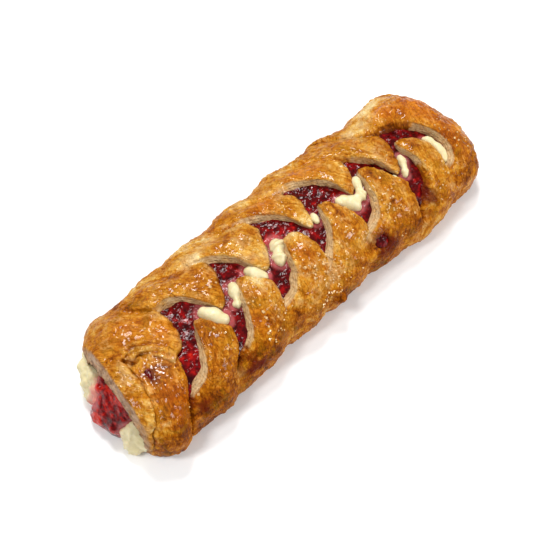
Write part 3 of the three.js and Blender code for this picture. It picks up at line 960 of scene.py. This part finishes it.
class Nodes:
    """Short calls for building a material's node tree."""

    def __init__(self, name):
        self.material = bpy.data.materials.new(name)
        self.material.use_nodes = True
        self.tree = self.material.node_tree
        self.shader = self.tree.nodes["Principled BSDF"]
        self.coords = self.tree.nodes.new("ShaderNodeTexCoord").outputs["Object"]

    def node(self, kind, inputs=None, **settings):
        made = self.tree.nodes.new("ShaderNode" + kind)
        for key, value in settings.items():
            setattr(made, key, value)
        for key, value in (inputs or {}).items():
            self.put(made.inputs[key], value)
        return made

    def put(self, socket, value):
        if isinstance(value, bpy.types.NodeSocket):
            self.tree.links.new(value, socket)
        else:
            socket.default_value = value

    def attribute(self, name):
        return self.node("Attribute", attribute_name=name).outputs["Fac"]

    def noise(self, size_mm, detail=2.0, rough=0.5, distortion=0.0, grain=None):
        """Noise at the points of the object, or along the grain, which is in mm already."""
        inputs = {
            "Vector": grain or self.coords,
            "Scale": (1 if grain else 1000) / size_mm,
            "Detail": detail,
            "Roughness": rough,
            "Distortion": distortion,
        }
        return self.node("TexNoise", inputs).outputs["Fac"]

    def blisters(self, size_mm, smooth):
        inputs = {"Vector": self.coords, "Scale": 1000 / size_mm, "Smoothness": smooth}
        return self.node("TexVoronoi", inputs, feature="SMOOTH_F1").outputs["Distance"]

    def math(self, operation, a, b=0.0, c=0.0):
        made = self.node("Math", operation=operation)
        for socket, value in zip(made.inputs, (a, b, c)):
            self.put(socket, value)
        return made.outputs[0]

    def span(self, value, low, high, to_low=0.0, to_high=1.0):
        limits = {"From Min": low, "From Max": high, "To Min": to_low, "To Max": to_high}
        made = self.node("MapRange", limits)
        self.put(made.inputs["Value"], value)
        return made.outputs[0]

    def ramp(self, value, stops):
        made = self.node("ValToRGB", {"Fac": value})
        ramp = made.color_ramp
        while len(ramp.elements) < len(stops):
            ramp.elements.new(1.0)
        for element, (place, colour) in zip(ramp.elements, stops):
            element.position = place
            element.color = (*linear(colour), 1)
        return made.outputs["Color"]

    def mix(self, share, a, b, blend="MIX"):
        made = self.node("Mix", data_type="RGBA", blend_type=blend)
        self.put(made.inputs["Factor"], share)
        for socket, value in ((made.inputs["A"], a), (made.inputs["B"], b)):
            self.put(socket, (*linear(value), 1) if isinstance(value, str) else value)
        return made.outputs["Result"]

    def vary(self, base, value, low, high, to_low, to_high):
        """The base, and added to it to_low up to to_high as the value goes from low to high."""
        return self.math("ADD", base, self.span(value, low, high, to_low, to_high))

    def set(self, socket, value):
        self.put(self.shader.inputs[socket], value)

    def bump(self, height, distance_mm, strength=1.0, normal=None):
        inputs = {"Strength": strength, "Distance": distance_mm * MM, "Height": height}
        made = self.node("Bump", inputs)
        if normal is not None:
            self.put(made.inputs["Normal"], normal)
        return made.outputs["Normal"]


def linear(colour):
    """A #rrggbb colour as linear values."""
    parts = [int(colour[i : i + 2], 16) / 255 for i in (1, 3, 5)]
    return tuple(c / 12.92 if c <= 0.04045 else ((c + 0.055) / 1.055) ** 2.4 for c in parts)


CRUST_STOPS = [
    (0.0, "#ecd096"), (0.2, "#dfb05a"), (0.38, "#cd8c2b"), (0.54, "#b96f0f"), (0.7, "#9a5004"),
    (0.88, "#642e02"),
]
BAND_STOPS = [(0.0, "#b18a5f"), (0.35, "#c9a474"), (0.7, "#dabb8c"), (1.0, "#e8cfa4")]
JAM_STOPS = [(0.26, "#2e0001"), (0.46, "#580204"), (0.62, "#8c0708"), (0.78, "#c4230f")]
CREAM_STOPS = [(0.3, "#d8c997"), (0.7, "#e3d7ae")]
SUGAR_STOPS = [(0.3, "#e4ae68"), (0.7, "#f6d398")]


def pastry_material():
    m = Nodes("baked_crust")
    bake = m.attribute("bake")
    fine = m.noise(1.3, 3, 0.6)
    patch = m.noise(6, 3, 0.5, 0.8)
    grain = m.node("Attribute", attribute_name="grain").outputs["Vector"]
    streak = m.noise(1 / 0.45, 2, 0.5, 0.4, grain)
    flake = m.math("SUBTRACT", m.noise(4.5, 2, 0.5, 1.2), 0.5)
    flake = m.span(m.math("ABSOLUTE", flake), 0.0, 0.09)
    wrinkle = m.noise(1 / 0.8, 3, 0.6, 1.6, grain)
    tone = m.math("ADD", bake, m.span(fine, 0.3, 0.7, -0.07, 0.05))
    tone = m.vary(tone, wrinkle, 0.35, 0.65, -0.13, 0.07)
    tone = m.vary(tone, patch, 0.3, 0.7, -0.14, 0.13)
    tone = m.vary(tone, streak, 0.3, 0.7, -0.07, 0.07)
    tone = m.vary(tone, flake, 0, 1, 0.08, -0.03)
    # painted highlight, partly paler blistered crust: raised blisters are painted paler
    tone = m.vary(tone, m.attribute("raised"), 0.1, 0.9, 0.04, -0.1)
    # painted shade: the crust is painted browner down in the creases
    tone = m.vary(tone, m.attribute("crease"), 0.1, 0.9, -0.04, 0.2)
    crust = m.ramp(tone, CRUST_STOPS)
    tan = m.span(m.noise(9, 2, 0.5, 0.4), 0.48, 0.66, 0, 0.55)
    tan = m.math("MULTIPLY", tan, m.span(tone, 0.62, 0.4))
    crust = m.mix(tan, crust, "#c99a66")
    olive = m.span(m.noise(8, 2, 0.5, 0.6), 0.52, 0.68, 0, 0.5)
    crust = m.mix(m.math("MULTIPLY", olive, m.span(tone, 0.35, 0.6)), crust, "#9a6a08")
    crust = m.mix(m.attribute("glow"), crust, m.mix(m.span(tone, 0.3, 0.75), "#dc7c10", "#a84e04"))
    crust = m.mix(m.span(m.attribute("stain"), 0.1, 0.9, 0, 0.85), crust, "#5c0f06")
    layer = m.attribute("layer")
    wander = m.noise(7, 2, 0.5)
    line = m.math("ADD", m.math("MULTIPLY", layer, 4.2), m.math("MULTIPLY", wander, 12.0))
    line = m.math("ADD", m.math("SINE", line), m.span(streak, 0.2, 0.8, -1.6, 1.6))
    leaf = m.ramp(m.span(line, -3.6, 2.8), BAND_STOPS)
    leaf = m.mix(m.span(layer, 4, 7, 0, 0.4), leaf, "#a3603c")
    share = m.span(m.attribute("rim"), 0, 1, 0, 0.75)
    # painted shade, partly the dough's own colour: the cut rim round the open end is painted
    # darker in places
    rim = m.mix(m.span(m.noise(4, 2), 0.4, 0.6), "#6c4436", "#bd9a80")
    leaf = m.mix(share, leaf, rim)
    cut = m.attribute("cut")
    bare = m.vary(cut, m.noise(2.6, 2), 0.3, 0.7, -0.3, 0.3)
    bare = m.math("MULTIPLY", m.span(bare, 0.3, 1.0), m.span(layer, 0.2, 1.8, 0.4, 0.9))
    m.set("Base Color", m.mix(bare, crust, leaf))
    rough = m.span(m.noise(3.2, 3), 0.35, 0.65, 0.26, 0.46)
    rough = m.math("SUBTRACT", rough, m.math("MULTIPLY", m.attribute("gloss"), 0.2))
    rough = m.math("ADD", rough, m.math("MULTIPLY", cut, 0.25))
    m.set("Roughness", rough)
    height = m.bump(m.math("MULTIPLY", m.blisters(2.8, 0.6), -1.0), 1.2, 0.8)
    height = m.bump(m.noise(1.5, 2, 0.5, 0.5), 0.3, 0.8, height)
    height = m.bump(wrinkle, 1.1, 0.8, height)
    height = m.bump(flake, 0.35, 0.8, height)
    height = m.bump(streak, 0.9, 0.6, height)
    height = m.bump(m.math("MULTIPLY", line, cut), 0.09, 0.8, height)
    m.set("Normal", height)
    m.set("Specular IOR Level", 0.03)
    coat = m.math("ADD", m.span(m.noise(11, 2, 0.5), 0.4, 0.65, 0.12, 0.36), m.attribute("gloss"))
    m.set("Coat Weight", m.math("MAXIMUM", m.math("MINIMUM", coat, 1.0), 0.03))
    m.set("Coat Roughness", 0.09)
    return m.material


def jam_material():
    m = Nodes("strawberry_jam")
    tone = m.span(m.noise(2.8, 4, 0.6), 0.3, 0.7, 0.25, 0.7)
    # painted shade and light: the jam is painted darker in the hollows of its lumps and lighter on
    # their tops
    tone = m.vary(tone, m.attribute("lumps"), -0.5, 0.6, -0.12, 0.08)
    colour = m.ramp(m.math("ADD", tone, m.attribute("bright")), JAM_STOPS)
    milky = m.math("MULTIPLY", m.attribute("milky"), m.span(m.noise(3, 2), 0.3, 0.6, 0.5, 1))
    m.set("Base Color", m.mix(milky, colour, "#c06464"))
    m.set("Roughness", 0.03)
    m.set("Normal", m.bump(m.noise(2.3, 2, 0.5, 0.4), 0.75, 0.8))
    m.set("Specular IOR Level", 0.2)
    return m.material


def cream_material():
    m = Nodes("cream_cheese")
    colour = m.ramp(m.noise(4, 3, 0.5), CREAM_STOPS)
    pink = m.vary(m.attribute("pink"), m.noise(5, 3, 0.6), 0.4, 0.75, -0.35, 0.3)
    m.set("Base Color", m.mix(m.span(pink, 0.25, 1.1, 0, 0.75), colour, "#c8434f"))
    m.set("Roughness", 0.38)
    m.set("Normal", m.bump(m.noise(1.8, 3, 0.5), 0.4, 0.5))
    m.set("Subsurface Weight", 0.2)
    m.set("Subsurface Radius", (0.002, 0.0014, 0.0007))
    m.set("Subsurface Scale", 1.0)
    return m.material


def sugar_material():
    m = Nodes("coarse_sugar")
    m.set("Base Color", m.ramp(m.noise(2, 2), SUGAR_STOPS))
    m.set("Roughness", 0.15)
    m.set("Transmission Weight", 0.2)
    m.set("IOR", 1.54)
    m.set("Normal", m.bump(m.noise(0.5, 2), 0.1, 0.5))
    return m.material


# ---------- floor, light


FLOOR_HALF = 3.0
SKY_STRENGTH = 0.42
# Lamps aimed at the loaf: name, place, width, watts.
LAMPS = [
    ("key", (0.35, 0.58, 1.1), 0.36, 11),
    ("left", (-0.6, 0.2, 1.15), 0.34, 6),
    ("right", (0.5, -0.9, 0.7), 0.4, 7),
]
LENS, SENSOR = 58.2214, 36.0  # in mm


def make_stage():
    mesh = bpy.data.meshes.new("floor")
    b = bmesh.new()
    bmesh.ops.create_grid(b, x_segments=2, y_segments=2, size=FLOOR_HALF)
    b.to_mesh(mesh)
    b.free()
    floor = add_object("floor", mesh)
    m = Nodes("pale_floor")
    m.set("Base Color", m.ramp(m.noise(300, 1), [(0, "#fafafa"), (1, "#fdfdfd")]))
    m.set("Roughness", 0.9)
    m.set("Specular IOR Level", 0.1)
    floor.data.materials.append(m.material)

    world = bpy.data.worlds.new("studio")
    world.use_nodes = True
    sky = world.node_tree.nodes["Background"].inputs
    sky["Color"].default_value = (1, 1, 1, 1)
    sky["Strength"].default_value = SKY_STRENGTH
    bpy.context.scene.world = world

    for name, place, size, power in LAMPS:
        light = bpy.data.lights.new(name, "AREA")
        light.shape = "DISK"
        light.size = size
        light.energy = power
        lamp = add_object(name, light)
        lamp.location = place
        lamp.rotation_mode = "QUATERNION"
        lamp.rotation_quaternion = (-Vector(place)).to_track_quat("-Z", "Y")


def make_camera():
    """The camera, above and to the right of the open end; distance and aim in mm."""
    azimuth, elevation, roll = map(math.radians, (-45.5, 61.0, 1.45))
    distance, aim = 483.0, Vector((-13.6, 0.4, 18.5))
    turn = Matrix.Rotation(azimuth, 4, "Z") @ Matrix.Rotation(math.pi / 2 - elevation, 4, "X")
    turn = turn @ Matrix.Rotation(roll, 4, "Z")
    data = bpy.data.cameras.new("camera")
    data.sensor_width = SENSOR
    data.lens = LENS
    data.clip_start = 0.01
    camera = add_object("camera", data)
    place = aim + turn @ Vector((0, 0, distance))
    camera.matrix_world = Matrix.Translation(place * MM) @ turn
    bpy.context.scene.camera = camera


make_camera()
make_stage()
for make, material in (
    (make_pastry, pastry_material),
    (make_jam, jam_material),
    (make_cream, cream_material),
    (make_sugar, sugar_material),
):
    make().data.materials.append(material())

view = bpy.context.scene.view_settings
view.view_transform = "Standard"
view.look = "None"
view.exposure = 0.0
view.gamma = 1.0
